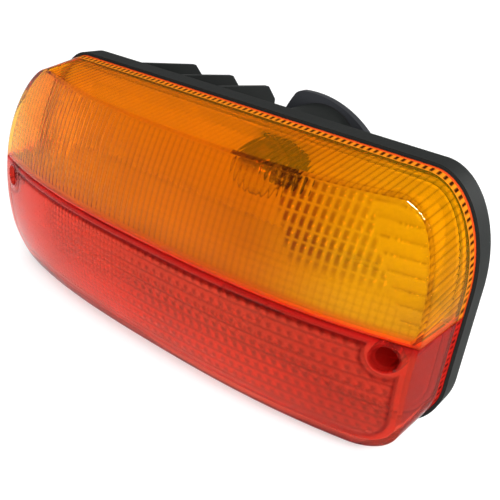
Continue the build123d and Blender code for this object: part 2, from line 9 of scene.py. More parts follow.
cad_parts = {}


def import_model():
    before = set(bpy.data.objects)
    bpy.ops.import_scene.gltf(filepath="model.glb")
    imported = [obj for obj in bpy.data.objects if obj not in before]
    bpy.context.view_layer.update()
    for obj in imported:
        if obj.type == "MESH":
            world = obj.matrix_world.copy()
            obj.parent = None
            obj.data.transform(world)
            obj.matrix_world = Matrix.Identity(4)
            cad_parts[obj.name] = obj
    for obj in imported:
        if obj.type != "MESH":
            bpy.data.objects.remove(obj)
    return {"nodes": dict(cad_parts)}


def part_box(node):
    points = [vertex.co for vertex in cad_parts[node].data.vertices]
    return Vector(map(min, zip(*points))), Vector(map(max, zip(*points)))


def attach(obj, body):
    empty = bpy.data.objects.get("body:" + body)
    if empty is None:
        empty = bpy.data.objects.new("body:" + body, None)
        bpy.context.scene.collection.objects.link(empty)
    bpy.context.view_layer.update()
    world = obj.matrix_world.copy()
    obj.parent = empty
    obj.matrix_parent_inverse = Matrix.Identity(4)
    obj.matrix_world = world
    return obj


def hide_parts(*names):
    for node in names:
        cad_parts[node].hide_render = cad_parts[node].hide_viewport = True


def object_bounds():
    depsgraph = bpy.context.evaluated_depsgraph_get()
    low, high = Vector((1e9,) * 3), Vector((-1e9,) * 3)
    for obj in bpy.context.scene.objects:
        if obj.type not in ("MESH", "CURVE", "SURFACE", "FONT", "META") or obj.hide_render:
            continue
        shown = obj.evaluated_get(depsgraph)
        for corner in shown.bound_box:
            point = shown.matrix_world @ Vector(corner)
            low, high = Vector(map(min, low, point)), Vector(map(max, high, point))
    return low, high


bl_info = {
    "name": "Rear lamp cluster",
    "version": (1, 0, 0),
    "blender": (4, 5, 0),
    "location": "View3D > Sidebar > Lamp",
    "description": "Lenses, bulbs, fixings and finishes of a two-colour rear lamp",
    "category": "Object",
}

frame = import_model()
cad_box = [list(corner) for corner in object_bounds()]
MM = 0.001

# Lens form in mm, as in the part's source but with the front 0.1 mm further back to stay inside its box:
# outline at the rim, its draft over DRAFT_DEPTH, and the bowed front
RIM_Y = -57.0
LENS_SINK = 1.5
DRAFT_DEPTH = 60.0
HALF_LENGTH = 125.0
HALF_HEIGHT = 58.0
SIDE_DRAFT = 3.7
EDGE_DEPTH = 19.7
BOW_ALONG_X = 17.7
BOW_POWER = 2.6
BOW_ALONG_Z = 14.8
LEAN = 4.85
LENS_WALL = 3.0
SEAM_Z = 2.9
SEAM_GAP = 0.02
LENS_MERGE = 0.002
# Materials of a lens in the order that its piece lists them; the last is amber flutes' ends or red wells
OUTER, INNER, ROUGH, BAND, EXTRA = range(5)
# Draft and corner radii of each lens with their change over the draft; its columns along half the long edge,
# round a corner and down to the seam; the rows over each side of its front and how they crowd to the seam;
# the material of its flutes' ends by the lip; and the painted shade of their ends at the front edge: the run
# along the outline over which they darken, their half-width and their tone
AMBER = {
    "side": 1, "draft": 11.0, "rx": 26.0, "rx_change": -2.0, "rz": 45.0, "rz_change": 2.0,
    "flat": 246, "corner": 96, "down": 8, "outer_rows": (26, 1.7), "inner_rows": (64, 1.0),
    "teeth": EXTRA, "front_ends": (50, 90, 1.2, 0.7)}
RED = {
    "side": -1, "draft": 9.3, "rx": 25.0, "rx_change": -8.0, "rz": 26.0, "rz_change": -16.0,
    "flat": 164, "corner": 64, "down": 40, "outer_rows": (58, 1.5), "inner_rows": (84, 1.0),
    "teeth": ROUGH, "front_ends": (125, 100, 3.0, 2.0)}
# Side band, in mm ahead of the rim: end of the lip, where the flutes' painted dark ends set in and stop, first
# rows
BAND_ROWS = 18
LIP = 0.7
TEETH = (1.1, 1.3, 3.6, 4.6)
LIP_ROWS = (0.0, 0.0, LIP, *TEETH)
TOOTH_SIDE = (0.1, 0.5)
HOLLOW_PALER = 0.6
# Band's share of the draft: where runs along the outline are measured, and the first guess of the front edge
RUN_SHARE = 0.3
FIRST_SHARE = 0.6
SHARE_STEPS = 12
# Screw wells
WELL_X = 112.5
WELL_Z = -4.5
WELL_R = 5.0
WELL_WALL = 1.5
WELL_LIP = 0.3
WELL_FLARE = (1.1, 0.8, 0.35)
WELL_STEP = 2.2
WELL_STEP_RISE = 0.4
WELL_SHADE = 0.5
WELL_BORE_R = 4.3
WELL_CORNER = 0.1
WELL_FLOOR = -80.1
WELL_FOOT = -63.3
SCREW_HOLE_R = 2.4
HOLE_MARGIN = 0.7


def linear(hex_text):
    """Linear colour of an sRGB hex value."""
    parts = [int(hex_text[i:i + 2], 16) / 255 for i in (1, 3, 5)]
    return tuple(c / 12.92 if c <= 0.04045 else ((c + 0.055) / 1.055) ** 2.4 for c in parts)


def rgba(colour, level=1.0):
    """Colour with its alpha, made darker or lighter."""
    return (*[min(1.0, c * level) for c in colour], 1.0)


class LampSizes(bpy.types.PropertyGroup):
    """Sizes that a user would change."""

    flute_pitch: FloatProperty(
        name="Flute pitch", description="Spacing of the upright flutes in the amber front",
        default=3.2 * MM, min=1.5 * MM, unit="LENGTH")
    flute_depth: FloatProperty(
        name="Flute depth", description="Depth of the upright flutes",
        default=0.4 * MM, min=0.0, max=1.5 * MM, unit="LENGTH")
    band_pitch: FloatProperty(
        name="Band flute pitch", description="Spacing of the front-to-back flutes round the side band",
        default=3.0 * MM, min=2.0 * MM, unit="LENGTH")
    band_depth: FloatProperty(
        name="Band flute depth", description="Depth of the flutes round the side band",
        default=0.5 * MM, min=0.0, max=1.5 * MM, unit="LENGTH")
    edge_round: FloatProperty(
        name="Edge rounding", description="Rounding of the lens's front edge",
        default=1.3 * MM, min=0.2 * MM, max=2.5 * MM, unit="LENGTH")
    prism_pitch: FloatProperty(
        name="Prism pitch", description="Row spacing of the prisms in the red front",
        default=5.5 * MM, min=2.0 * MM, unit="LENGTH")
    thread_pitch: FloatProperty(
        name="Thread pitch", description="Pitch of the mounting bolts' thread",
        default=1.0 * MM, min=0.5 * MM, unit="LENGTH")


class LampColours(bpy.types.PropertyGroup):
    """Colours that a user would change."""

    amber: FloatVectorProperty(
        name="Amber", description="Tint of the amber acrylic", subtype="COLOR",
        default=linear("#FFB400"), min=0.0, max=1.0)
    red: FloatVectorProperty(
        name="Red", description="Tint of the red acrylic", subtype="COLOR",
        default=linear("#FF684A"), min=0.0, max=1.0)
    housing: FloatVectorProperty(
        name="Housing black", description="Colour of the moulded housing", subtype="COLOR",
        default=linear("#1A1C1B"), min=0.0, max=1.0)
    floor: FloatVectorProperty(
        name="Floor", description="Colour of the floor", subtype="COLOR",
        default=linear("#D6D6D6"), min=0.0, max=1.0)


# Materials: one function adds a node, and each finish has its own function

def add_node(tree, kind, inputs=None, **settings):
    """Adds a node, sets its settings, and fills or links its inputs."""
    node = tree.nodes.new(kind)
    for name, value in settings.items():
        setattr(node, name, value)
    for key, value in (inputs or {}).items():
        if isinstance(value, bpy.types.NodeSocket):
            tree.links.new(value, node.inputs[key])
        else:
            node.inputs[key].default_value = value
    return node


def start_material(name):
    """An empty material, its tree and the object coordinates that its patterns read."""
    material = bpy.data.materials.new(name)
    material.use_nodes = True
    tree = material.node_tree
    tree.nodes.clear()
    return material, tree, add_node(tree, "ShaderNodeTexCoord").outputs["Object"]


def set_surface(tree, values):
    """Adds the shader with its sockets filled or linked, and the output."""
    shader = add_node(tree, "ShaderNodeBsdfPrincipled", values)
    add_node(tree, "ShaderNodeOutputMaterial", {"Surface": shader.outputs[0]})


def noise(tree, place, width_mm, detail):
    """Socket of a noise with patches of about a given width."""
    inputs = {"Vector": place, "Scale": 1 / (width_mm * MM), "Detail": detail}
    return add_node(tree, "ShaderNodeTexNoise", inputs).outputs["Fac"]


def mix(tree, share, first, second):
    """Socket of a colour between two others."""
    return add_node(tree, "ShaderNodeMix", {0: share, 6: first, 7: second}, data_type="RGBA").outputs[2]


def reckon(tree, operation, *values):
    """Socket of a number reckoned from one or two others."""
    return add_node(tree, "ShaderNodeMath", dict(enumerate(values)), operation=operation).outputs[0]


def fade(tree, value, start, end, low=0.0, high=1.0):
    """Socket that goes smoothly from low to high while a value goes from start to end."""
    inputs = {"Value": value, "From Min": start, "From Max": end, "To Min": low, "To Max": high}
    return add_node(tree, "ShaderNodeMapRange", inputs, interpolation_type="SMOOTHSTEP").outputs[0]


def uneven(tree, share, middle, half):
    """Socket of a value that a noise moves up and down round its middle."""
    inputs = {"Value": share, "To Min": middle - half, "To Max": middle + half}
    return add_node(tree, "ShaderNodeMapRange", inputs).outputs[0]


# Acrylic bends light at 1.49; less of it here, least round the band, keeps the white room off the colours
AMBER_IOR = 1.26
AMBER_BAND_IOR = 1.05
RED_IOR = 1.17
RED_BAND_IOR = 1.04
LIP_IOR = 1.04
# Where acrylic turns to its painted tone at the ends, lighter in the amber and darker in the red, away from a
# middle, and to its painted shade by the seam, in mm
ENDS_MIDDLE = -20
ENDS_FROM = 65
ENDS_TO = 118
SEAM_FROM = 5.5
SEAM_TO = 0.8
# Flow of the melt leaves clouds in plastic, this many mm wide, and finishes have a finer grain
CLOUD = 30
CLOUD_DETAIL = 2.0
GRAIN_DETAIL = 3.0
# Waves in blown glass, and how far above its axis the painted shade is full
GLASS_WAVE = 8
SHADE_RISE = 8


def acrylic(name, tint, ends, seam, shade_colour, gleam, through, roughness, ior):
    """Injection-moulded acrylic: clear and glossy, with painted light and shade at its ends, painted shade by
    its seam and painted shade from a per-vertex attribute.
    """
    material, tree, place = start_material(name)
    axes = add_node(tree, "ShaderNodeSeparateXYZ", {0: place})

    def away(axis, middle):
        step = reckon(tree, "SUBTRACT", axes.outputs[axis], middle * MM)
        return reckon(tree, "ABSOLUTE", step)

    # Painted light and shade towards the ends, lighter in the amber and darker in the red, and painted shade by
    # the seam
    near_end = fade(tree, away("X", ENDS_MIDDLE), ENDS_FROM * MM, ENDS_TO * MM)
    near_seam = fade(tree, away("Z", SEAM_Z), SEAM_FROM * MM, SEAM_TO * MM)
    clouded = mix(tree, noise(tree, place, CLOUD, CLOUD_DETAIL), rgba(tint, 0.94), rgba(tint))
    sided = mix(tree, near_end, clouded, rgba(ends))
    seam_shaded = mix(tree, near_seam, sided, rgba(seam))
    # Per-vertex painted shade from the lens pieces: dark lines of the optics, grooves, wells and flutes' ends
    painted_shade = add_node(tree, "ShaderNodeAttribute", attribute_name="painted_shade")
    set_surface(tree, {
        "Base Color": mix(tree, painted_shade.outputs["Fac"], seam_shaded, rgba(shade_colour)),
        "Roughness": roughness,
        "Specular Tint": rgba(gleam),
        "IOR": ior,
        "Transmission Weight": through,
    })
    return material


def even_tones(colour, shade_colour):
    """Five tones, in acrylic's order, of a surface that looks the same all over, save for its painted shade."""
    colour = linear(colour)
    return colour, colour, colour, linear(shade_colour), colour


def moulded_plastic(name, colour, roughness, grain):
    """Moulded plastic or rubber: a fine eroded grain breaks its sheen, and its tone drifts a little."""
    material, tree, place = start_material(name)
    pits = noise(tree, place, grain, GRAIN_DETAIL)
    cloud = noise(tree, place, CLOUD, CLOUD_DETAIL)
    bump = add_node(tree, "ShaderNodeBump", {"Height": pits, "Strength": 0.25, "Distance": 0.05 * MM})
    set_surface(tree, {
        "Base Color": mix(tree, cloud, rgba(colour, 0.8), rgba(colour, 1.2)),
        "Roughness": uneven(tree, pits, roughness, 0.06),
        "Specular IOR Level": 0.06,
        "Normal": bump.outputs[0],
    })
    return material


def bare_metal(name, colour, roughness, grain):
    """Plated, drawn or metallised metal: a fine uneven sheen from its making."""
    material, tree, place = start_material(name)
    sheen = noise(tree, place, grain, GRAIN_DETAIL)
    set_surface(tree, {
        "Base Color": mix(tree, sheen, rgba(colour, 0.85), rgba(colour, 1.08)),
        "Roughness": uneven(tree, sheen, roughness, 0.05),
        "Metallic": 1.0,
    })
    return material


def blown_glass(name, axis_z, shade):
    """Blown soda-lime glass: clear, thin and faintly uneven, with painted shade on its upper side."""
    material, tree, place = start_material(name)
    wave = noise(tree, place, GLASS_WAVE, 1.0)
    clear = mix(tree, wave, rgba(linear("#F8FCFA")), rgba(linear("#FFFFFF")))
    height = add_node(tree, "ShaderNodeSeparateXYZ", {0: place}).outputs["Z"]
    upper = fade(tree, height, axis_z, axis_z + SHADE_RISE * MM)
    bump = add_node(tree, "ShaderNodeBump", {"Height": wave, "Strength": 0.1, "Distance": 0.1 * MM})
    set_surface(tree, {
        "Base Color": mix(tree, upper, clear, rgba(shade)),
        "Roughness": 0.0,
        "IOR": 1.5,
        "Transmission Weight": 1.0,
        "Normal": bump.outputs[0],
    })
    return material


# Lens form: a grid is laid over the side band and the front of each lens

def front_depth(x, z):
    """How far the outer front stands before the rim plane."""
    share = z / HALF_HEIGHT
    bow = BOW_ALONG_X * (1 - abs(x / HALF_LENGTH) ** BOW_POWER)
    return EDGE_DEPTH + bow + BOW_ALONG_Z * (1 - share * share) - LEAN * share


def seam_height(lens):
    """Z of a lens's own side of the seam."""
    return SEAM_Z + lens["side"] * SEAM_GAP / 2


def edge_point(lens, column, share, inset):
    """X and Z on a lens outline: columns run from the long edge's middle, round a corner, to the seam."""
    half = HALF_LENGTH - SIDE_DRAFT * share - inset
    edge = HALF_HEIGHT - lens["draft"] * share - inset
    radius_x = lens["rx"] + lens["rx_change"] * share - inset
    radius_z = lens["rz"] + lens["rz_change"] * share - inset
    steps = abs(column)
    if steps <= lens["flat"]:
        x = (half - radius_x) * steps / lens["flat"]
        z = edge
    elif steps <= lens["flat"] + lens["corner"]:
        angle = math.pi / 2 * (1 - (steps - lens["flat"]) / lens["corner"])
        x = half - radius_x + radius_x * math.cos(angle)
        z = edge - radius_z + radius_z * math.sin(angle)
    else:
        down = (steps - lens["flat"] - lens["corner"]) / lens["down"]
        x = half
        z = (edge - radius_z) * (1 - down) + lens["side"] * seam_height(lens) * down
    return math.copysign(x, column), lens["side"] * z


def edge_share(lens, column, inset, setback):
    """Share of the draft at which the side band meets the front."""
    share = FIRST_SHARE
    for _ in range(SHARE_STEPS):
        x, z = edge_point(lens, column, share, inset)
        share = (front_depth(x, z) - setback) / DRAFT_DEPTH
    return share


def scallop(position, pitch):
    """Height from 0 to 1 across one hollow flute."""
    across = (position / pitch) % 1.0
    return 1 - (2 * across - 1) ** 2


def facet(position, pitch, peak):
    """Height from 0 to 1 and back across one prism whose ridge stands at the peak's share."""
    across = (position / pitch) % 1.0
    return across / peak if across < peak else (1 - across) / (1 - peak)


def ramp(value, start, end):
    """Smooth step from 0 at start to 1 at end."""
    share = min(1.0, max(0.0, (value - start) / (end - start)))
    return share * share * (3 - 2 * share)


def line(distance, half):
    """1 on a line, falling to 0 on both sides of it."""
    return math.exp(-(distance / half) ** 2)


def lifted(share, low):
    """A share from 0 to 1 that starts at low instead."""
    return low + (1 - low) * share


def plain(*place):
    """No relief and no change of tone."""
    return 0.0, 0.0


def edge_teeth(lens, pitch):
    """Painted shade of a lens's outer band: dark ends of its flutes by the lip, where the housing lies behind,
    and along part of the front edge.
    """
    start, end, half, level = lens["front_ends"]

    def tone(run, z, ahead, behind):
        across = scallop(run, pitch)
        front_end = level * line(behind, half) * ramp(abs(run), start, end) * (1 - HOLLOW_PALER * across)
        rim_end = ramp(ahead, *TEETH[:2]) * (1 - ramp(ahead, *TEETH[2:])) * ramp(1 - across, *TOOTH_SIDE)
        return 0.0, min(1.0, front_end + rim_end)
    return tone


def lens_surface(bm, lens, inset, front_rows, front, band, layer):
    """One side of a lens shell, from the rim over the front edge to the seam."""
    columns = lens["flat"] + lens["corner"] + lens["down"]
    steps, ease = front_rows
    rows = BAND_ROWS + steps
    made = bmesh.ops.create_grid(bm, x_segments=2 * columns, y_segments=rows, size=1.0)
    shares = {column: edge_share(lens, column, inset, inset) for column in range(-columns, columns + 1)}
    run = {0: 0.0}
    for column in range(1, columns + 1):
        here = Vector(edge_point(lens, column, RUN_SHARE, inset))
        run[column] = run[column - 1] + (here - Vector(edge_point(lens, column - 1, RUN_SHARE, inset))).length
        run[-column] = -run[column]
    seam_end = edge_point(lens, columns, shares[columns], inset)[0]
    flat_end = edge_point(lens, lens["flat"], shares[lens["flat"]], inset)[0]
    edge_row = []
    band_rows = []
    for vert in made["verts"]:
        column = round(vert.co.x * columns)
        row = round((vert.co.y + 1) / 2 * rows)
        if row <= BAND_ROWS:
            long = DRAFT_DEPTH * shares[column]
            if row < len(LIP_ROWS):
                ahead = LIP_ROWS[row]
            else:
                part = (row - len(LIP_ROWS) + 1) / (BAND_ROWS - len(LIP_ROWS) + 1)
                ahead = LIP_ROWS[-1] + (long - LIP_ROWS[-1]) * (0.5 - 0.5 * math.cos(math.pi * part))
            z = edge_point(lens, column, ahead / DRAFT_DEPTH, inset)[1]
            relief, vert[layer] = band(run[column], z, ahead, long - ahead)
            x, z = edge_point(lens, column, ahead / DRAFT_DEPTH, inset - relief)
            y = RIM_Y - ahead + (LENS_SINK if row == 0 else 0)
            band_rows.append(vert)
            if row == BAND_ROWS:
                edge_row.append(vert)
        else:
            inward = 1 - (1 - (row - BAND_ROWS) / steps) ** ease
            edge_x, edge_z = edge_point(lens, column, shares[column], inset)
            turn = max(0, abs(column) - lens["flat"]) / (columns - lens["flat"])
            seam_x = edge_x if turn == 0 else math.copysign(flat_end + (seam_end - flat_end) * turn, column)
            x = edge_x + (seam_x - edge_x) * inward
            z = edge_z + (seam_height(lens) - edge_z) * inward
            relief, vert[layer] = front(x, z)
            y = RIM_Y - front_depth(x, z) + inset - relief
        vert.co = Vector((x, y, z)) * MM
    return made["verts"], edge_row, band_rows


def lens_shell(lens, inner_front, inner_band, outer_front, outer_band):
    """Both sides of a lens, open along the rim and the seam, and the edges of its front edge."""
    bm = bmesh.new()
    layer = bm.verts.layers.float.new("painted_shade")
    outer, edge_row, band_rows = lens_surface(
        bm, lens, 0.0, lens["outer_rows"], outer_front, outer_band, layer)
    outer_faces = {face for vert in outer for face in vert.link_faces}
    inner_band_rows = lens_surface(
        bm, lens, LENS_WALL, lens["inner_rows"], inner_front, inner_band, layer)[2]
    on_edge = set(edge_row)
    on_band = {*band_rows, *inner_band_rows}
    for face in bm.faces:
        face.material_index = OUTER if face in outer_faces else INNER
        ahead = RIM_Y - face.calc_center_median().y / MM
        if face in outer_faces and ahead < TEETH[3]:
            face.material_index = ROUGH if ahead < TEETH[0] else lens["teeth"]
        elif on_band.issuperset(face.verts):
            face.material_index = BAND
    rounded = [e for e in {e for v in edge_row for e in v.link_edges} if set(e.verts) <= on_edge]
    bmesh.ops.remove_doubles(bm, verts=bm.verts, dist=LENS_MERGE * MM)
    return bm, [edge for edge in rounded if edge.is_valid]


def close_shell(bm, rounded, width):
    """Joins the two open borders of a shell and rounds its front edge."""
    border = [edge for edge in bm.edges if edge.is_boundary]
    for face in bmesh.ops.bridge_loops(bm, edges=border)["faces"]:
        face.material_index = ROUGH
    bmesh.ops.bevel(
        bm, geom=rounded, offset=width, affect="EDGES", segments=4, profile=0.5, material=-1,
        clamp_overlap=True)
    bmesh.ops.recalc_face_normals(bm, faces=bm.faces)
    if bm.calc_volume(signed=True) < 0:
        bmesh.ops.reverse_faces(bm, faces=bm.faces)


def from_axis(point, centre):
    """Step in X and Z from a hole's axis to a point, in mm."""
    return Vector((point.x, point.z)) / MM - centre


def round_hole(bm, side, centre, radius):
    """Opens a round hole in one side of a shell and returns the edges of its border."""
    over = [f for f in bm.faces
            if f.material_index == side and from_axis(f.calc_center_median(), centre).length < radius]
    bmesh.ops.delete(bm, geom=over, context="FACES")
    border = [e for e in bm.edges if e.is_boundary and e.link_faces[0].material_index == side
              and max(from_axis(v.co, centre).length for v in e.verts) < radius + HOLE_MARGIN]
    for vert in {v for e in border for v in e.verts}:
        place = centre + from_axis(vert.co, centre).normalized() * radius
        vert.co.x = place.x * MM
        vert.co.z = place.y * MM
    return border


def extend_ring(bm, border, centre, radius, depth, tone=0.0):
    """Carries a hole's border on to a ring of another radius, depth and painted shade; returns that ring's
    edges.
    """
    layer = bm.verts.layers.float["painted_shade"]
    made = bmesh.ops.extrude_edge_only(bm, edges=border)["geom"]
    for face in (part for part in made if isinstance(part, bmesh.types.BMFace)):
        face.material_index = EXTRA
    ring = [part for part in made if isinstance(part, bmesh.types.BMEdge) and part.is_boundary]
    for vert in {v for e in ring for v in e.verts}:
        place = centre + from_axis(vert.co, centre).normalized() * radius
        vert.co = Vector((place.x, depth(place), place.y)) * MM
        vert[layer] = tone
    return ring


def sink_well(bm, centre):
    """Sinks a screw well through a lens: its lip, bore, floor, screw hole and the tube behind them."""
    def before(step):
        return lambda place: RIM_Y - front_depth(place.x, place.y) + step

    mouth = round_hole(bm, OUTER, centre, WELL_R + WELL_FLARE[0])
    # The rings' tones are painted shade, darkest down the bore, on its floor and in the screw hole
    for radius, depth, tone in (
        (WELL_R + WELL_FLARE[1], before(-WELL_LIP), 0.0),
        (WELL_R + WELL_FLARE[2], before(-WELL_LIP), 0.0),
        (WELL_R, before(WELL_LIP), 0.6),
        (WELL_R, before(WELL_STEP - WELL_STEP_RISE), 0.3),
        (WELL_BORE_R, before(WELL_STEP), 0.0),
        (WELL_BORE_R, before(WELL_STEP + WELL_SHADE), 0.8),
        (WELL_BORE_R, lambda place: WELL_FLOOR - WELL_CORNER, 1.0),
        (WELL_BORE_R - WELL_CORNER, lambda place: WELL_FLOOR, 1.0),
        (SCREW_HOLE_R, lambda place: WELL_FLOOR, 1.0),
        (SCREW_HOLE_R, lambda place: WELL_FOOT, 1.0),
    ):
        mouth = extend_ring(bm, mouth, centre, radius, depth, tone)
    tube = round_hole(bm, INNER, centre, WELL_R + WELL_WALL)
    tube = extend_ring(bm, tube, centre, WELL_R + WELL_WALL, lambda place: WELL_FOOT)
    bmesh.ops.triangle_fill(bm, edges=mouth + tube, use_beauty=True)


def new_piece(bm, name, slot, materials, *nodes):
    """Turns a bmesh into a smooth piece that rides on the lamp and stands for the named nodes."""
    mesh = bpy.data.meshes.new(name)
    for face in bm.faces:
        face.smooth = True
    bm.to_mesh(mesh)
    bm.free()
    for material in materials:
        mesh.materials.append(material)
    piece = bpy.data.objects.new(name, mesh)
    bpy.context.scene.collection.objects.link(piece)
    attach(piece, "root")
    if nodes:
        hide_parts(*nodes)
    return piece


# Amber optics in mm: upright flutes, pillows before the bulb, broad steps at the right end, small cells
# elsewhere. Each pair is where a kind begins and where it is full, or where it starts to end and is gone.
OPTICS_FOOT = (2.4, 3.4)
FLUTE_END = (90, 93)
PILLOW_PITCH = 3.5
PILLOW_RISE = 4.6
PILLOW_DEPTH = 1.6
PILLOW_LEAST = 0.3
PILLOW_SLANT = 0.6
PILLOW_TOP = 46
PILLOW_LEFT = (50, 54)
PILLOW_RIGHT = (90, 92)
PILLOW_FOOT = (15, 26)
STEP_RISE = 5.4
STEP_DEPTH = 0.8
STEP_LEFT = (91, 93)
STEP_FOOT = (9, 11)
CELL = 3.0
CELL_DEPTH = 0.2
CELL_LEFT = (40, 60)
CELL_TOP = (15, 24)
CELL_COVER = 0.8
# Their painted shade: on edges of flutes, rows across them, strokes on the pillows, noses and treads of the
# steps, cells
FLUTE_TONE = 0.45
ROW_TONE = 0.12
STROKE_X = (0.45, 0.95)
STROKE_Z = (0.05, 0.5)
STROKE_FADE = (60, 90)
STROKE_LOSS = 0.5
NOSE = 0.1
NOSE_TONE = 0.35
TREAD_TONE = 0.3
CELL_TONE = 0.35
# Flutes round the amber band: stronger away from the middle, and none by the front edge and the seam; painted
# shade darkens the lines between them
BAND_RIGHT = (15, 50)
BAND_LEFT = (60, 105)
BAND_LEAST = 0.4
BAND_FRONT = 0.3
BAND_FOOT = (2, 4)
BAND_TONE = 0.85
GROOVE_HALF = 0.55
AMBER_GROOVE = 0.5


class LAMP_OT_amber_lens(bpy.types.Operator):
    """Amber lens with flutes, pillows, steps and cells in its front and flutes round its band"""

    bl_idname = "lamp.amber_lens"
    bl_label = "Amber lens"

    def execute(self, context):
        sizes = context.scene.lamp_sizes
        tint = context.scene.lamp_colours.amber
        pitch = sizes.flute_pitch / MM
        depth = sizes.flute_depth / MM
        band_pitch = sizes.band_pitch / MM
        band_depth = sizes.band_depth / MM

        def front(x, z):
            """Relief and painted shade inside the front."""
            # The pillows and the steps beside them stand along slanted borders
            slant = x - PILLOW_SLANT * (PILLOW_TOP - z)
            pillow = ramp(slant, *PILLOW_LEFT) * (1 - ramp(slant, *PILLOW_RIGHT)) * ramp(z, *PILLOW_FOOT)
            step = ramp(slant, *STEP_LEFT) * ramp(z, *STEP_FOOT)
            lower = ramp(x, *CELL_LEFT) * (1 - ramp(z, *CELL_TOP))
            cell = max(lower, ramp(-x, *FLUTE_END)) * (1 - step)
            flute = (1 - ramp(abs(x), *FLUTE_END)) * (1 - pillow) * (1 - CELL_COVER * cell) * (1 - step)
            across = scallop(x, pitch)
            pillow_x = scallop(x, PILLOW_PITCH)
            pillow_z = scallop(z, PILLOW_RISE)
            tread = (z / STEP_RISE) % 1.0
            cell_z = scallop(z, CELL)
            small = scallop(x, CELL) * cell_z
            relief = (
                depth * across * flute
                + PILLOW_DEPTH * depth * pillow_x * lifted(pillow_z, PILLOW_LEAST) * pillow
                + STEP_DEPTH * tread * step
                + CELL_DEPTH * small * cell)
            stroke = ramp(pillow_x, *STROKE_X) * ramp(pillow_z, *STROKE_Z)
            painted_shade = (
                (FLUTE_TONE * (1 - across) ** 2 + ROW_TONE * (1 - cell_z) ** 2) * flute
                + stroke * (1 - STROKE_LOSS * ramp(slant, *STROKE_FADE)) * pillow
                + (NOSE_TONE * (1 - ramp(tread, 0.0, NOSE)) + TREAD_TONE * (1 - tread) ** 2) * step
                + CELL_TONE * (1 - small) ** 3 * cell)
            inside = ramp(z - SEAM_Z, *OPTICS_FOOT)
            return inside * relief, inside * painted_shade

        def band(run, z, ahead, behind):
            """Relief and painted shade inside the band: flutes with round ends and dark lines between them."""
            strong = lifted(max(ramp(run, *BAND_RIGHT), ramp(-run, *BAND_LEFT)), BAND_LEAST)
            shown = ramp(ahead, 0.0, LIP) * ramp(behind, 0.0, BAND_FRONT) * ramp(z - SEAM_Z, *BAND_FOOT)
            half = band_pitch / 2
            aside = abs((run / band_pitch) % 1.0 - 0.5) * band_pitch
            short = max(0.0, half - max(0.0, min(ahead - LIP, behind)))
            across = max(0.0, 1 - (aside ** 2 + short ** 2) / half ** 2)
            return band_depth * strong * across * shown, BAND_TONE * strong ** 2 * (1 - across) ** 2 * shown

        def groove(x, z):
            """Relief and tone outside the front: a groove along the seam."""
            return -AMBER_GROOVE * line(z - SEAM_Z, GROOVE_HALF), 0.0

        bm, rounded = lens_shell(AMBER, front, band, groove, edge_teeth(AMBER, band_pitch))
        close_shell(bm, rounded, sizes.edge_round)
        # Tones: of the middle, painted light at the ends, painted shade by the seam, painted shade on the
        # optics and flutes' ends, and of the gleam
        gleam = linear("#FFE0A0")
        tones = (tint, linear("#FFD828"), linear("#FF9030"), linear("#8A3C00"), gleam)
        band_tones = (linear("#FFAA00"), linear("#FFC40C"), linear("#FF9820"), linear("#6E1E00"), gleam)
        lip_tones = even_tones("#D84A1C", "#3A1408")
        end_tones = even_tones("#E8861A", "#2A0E06")
        new_piece(bm, "amber_lens_shell", "amber_acrylic", (
            # Outside, a polished mould leaves a clear gloss; inside, the cut optics break the light
            acrylic("amber_acrylic_polished", *tones, through=1.0, roughness=0.03, ior=AMBER_IOR),
            acrylic("amber_acrylic_moulded_optics", *tones, through=0.85, roughness=0.06, ior=AMBER_IOR),
            # The lip at the rim and the joint at the seam are left rough from the mould and glow redder
            acrylic("amber_acrylic_rough_lip", *lip_tones, through=0.0, roughness=0.6, ior=LIP_IOR),
            # The fluted band glows deeper than the front, with painted shade as dark lines between its flutes
            acrylic(
                "amber_acrylic_fluted_band", *band_tones, through=0.9, roughness=0.05, ior=AMBER_BAND_IOR),
            # The flutes' ends by the lip are painted dark as shade, as if the black housing showed between them
            acrylic("amber_acrylic_flute_ends", *end_tones, through=0.2, roughness=0.3, ior=AMBER_BAND_IOR),
        ), "amber_lens")
        return {"FINISHED"}


# Red optics in mm: slanted prisms inside a frame line, fine and faint at the left; pairs as for the amber
PRISM_DEPTH = 0.7
PRISM_FIELD = (0.3, 1.0)
PRISM_COARSE = (-30, 10)
PRISM_FADE = (-100, -45)
PRISM_LEAST = 0.15
PRISM_WIDTH = 0.84
PRISM_SLANT = 0.25
PRISM_PEAKS = (0.65, 0.35)
FINE = 0.5
# Their painted shade: lines between rows, hollows, a drift across each prism, its wedge and its slash
RULE = 0.28
RULE_TONE = 0.6
RULE_LEAST = 0.3
HOLLOW_TONE = 0.55
DRIFT_TONE = 0.15
WEDGE_AT = (0.74, 0.4)
WEDGE_HALF = (0.15, 0.24)
WEDGE_TONE = 1.3
SLASH_AT = 0.95
SLASH_SLANT = 0.8
SLASH_HALF = 0.12
SLASH_END = (0.6, 0.8)
SLASH_TONE = 0.4
# Frame line: its place, then its half-width, depth and painted shade inside and outside the front
FRAME_GAP = 5.0
FRAME_CORNER = 18.0
FRAME_HALF = 122.6
FRAME_EDGE = 51.0
FRAME_WELL_GAP = 4.0
FRAME_BEAD_GAP = 0.6
INSIDE_LINE = (0.6, 0.4, 0.8)
OUTSIDE_LINE = (0.8, 0.2, 0.85)
# Half-width of the painted shade along the lower edge
LOWER_SHADE_HALF = 1.6
# Bead under the seam
BEAD = 3.6
BEAD_HALF = 104.0
BEAD_END = 2.0
RED_GROOVE = 0.8


